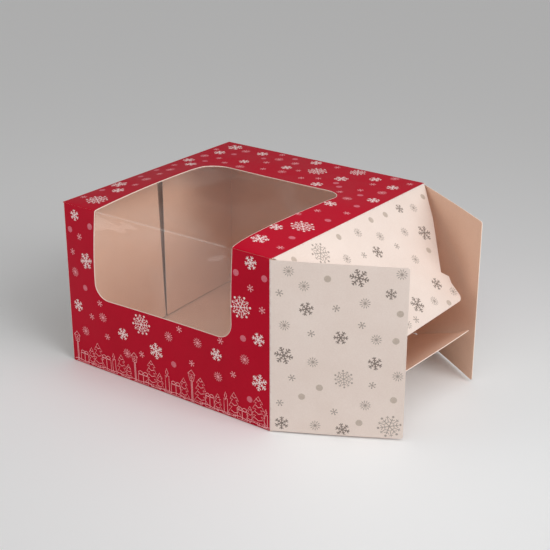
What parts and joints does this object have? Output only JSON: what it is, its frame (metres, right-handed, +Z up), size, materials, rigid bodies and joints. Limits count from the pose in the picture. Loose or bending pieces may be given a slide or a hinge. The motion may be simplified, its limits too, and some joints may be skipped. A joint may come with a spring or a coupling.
{
  "type": "windowed cake box",
  "caption": "Folding card cake box with a clear film window over its front top edge and tuck flaps at both ends; one end stands open and the other is closed.",
  "frame": {"origin": "middle of the bottom panel's underside, on the surface that the box stands on", "axes": "+X to the right along the windowed front, towards the open end; +Y from the front to the back; +Z up"},
  "size_m": [0.3165, 0.231, 0.15],
  "materials": {
    "printed_card_red": "satin",
    "printed_card_white": "satin",
    "clear_film": "gloss"
  },
  "bodies": {
    "sleeve": {"front_panel": "printed_card_red", "top_panel": "printed_card_red", "back_panel": "printed_card_red", "bottom_panel": "printed_card_white", "glue_seam_flap": "printed_card_white", "window_film": "clear_film"},
    "right_front_dust": {"right_front_dust_flap": "printed_card_white"},
    "right_back_dust": {"right_back_dust_flap": "printed_card_white"},
    "right_top": {"right_top_flap": "printed_card_white"},
    "right_bottom": {"right_bottom_flap": "printed_card_white"},
    "left_front_dust": {"left_front_dust_flap": "printed_card_white"},
    "left_back_dust": {"left_back_dust_flap": "printed_card_white"},
    "left_top": {"left_top_flap": "printed_card_white"},
    "left_bottom": {"left_bottom_flap": "printed_card_white"}
  },
  "joints": [
    {"name": "right_top_crease", "type": "hinge", "parent": "sleeve", "child": "right_top", "pos_m": [0.1123, 0, 0.1497], "axis": [0, 1, 0], "range_deg": [-165, 45]},
    {"name": "right_bottom_crease", "type": "hinge", "parent": "sleeve", "child": "right_bottom", "pos_m": [0.1114, 0, 0.0003], "axis": [0, -1, 0], "range_deg": [-30.5, 59.5]},
    {"name": "right_front_dust_crease", "type": "hinge", "parent": "sleeve", "child": "right_front_dust", "pos_m": [0.1105, -0.1152, 0.075], "axis": [0, 0, 1], "range_deg": [-148.4, 0]},
    {"name": "right_back_dust_crease", "type": "hinge", "parent": "sleeve", "child": "right_back_dust", "pos_m": [0.1105, 0.1152, 0.075], "axis": [0, 0, -1], "range_deg": [-152.7, 0]},
    {"name": "left_top_crease", "type": "hinge", "parent": "sleeve", "child": "left_top", "pos_m": [-0.1123, 0, 0.1497], "axis": [0, 1, 0], "range_deg": [0, 180]},
    {"name": "left_bottom_crease", "type": "hinge", "parent": "sleeve", "child": "left_bottom", "pos_m": [-0.1114, 0, 0.0003], "axis": [0, -1, 0], "range_deg": [0, 90]},
    {"name": "left_front_dust_crease", "type": "hinge", "parent": "sleeve", "child": "left_front_dust", "pos_m": [-0.1105, -0.1152, 0.075], "axis": [0, 0, -1], "range_deg": [0, 35]},
    {"name": "left_back_dust_crease", "type": "hinge", "parent": "sleeve", "child": "left_back_dust", "pos_m": [-0.1105, 0.1152, 0.075], "axis": [0, 0, 1], "range_deg": [0, 35]}
  ],
  "couplings": [
    {"joint": "left_bottom_crease", "follows": "left_top_crease", "ratio": 0.5}
  ]
}
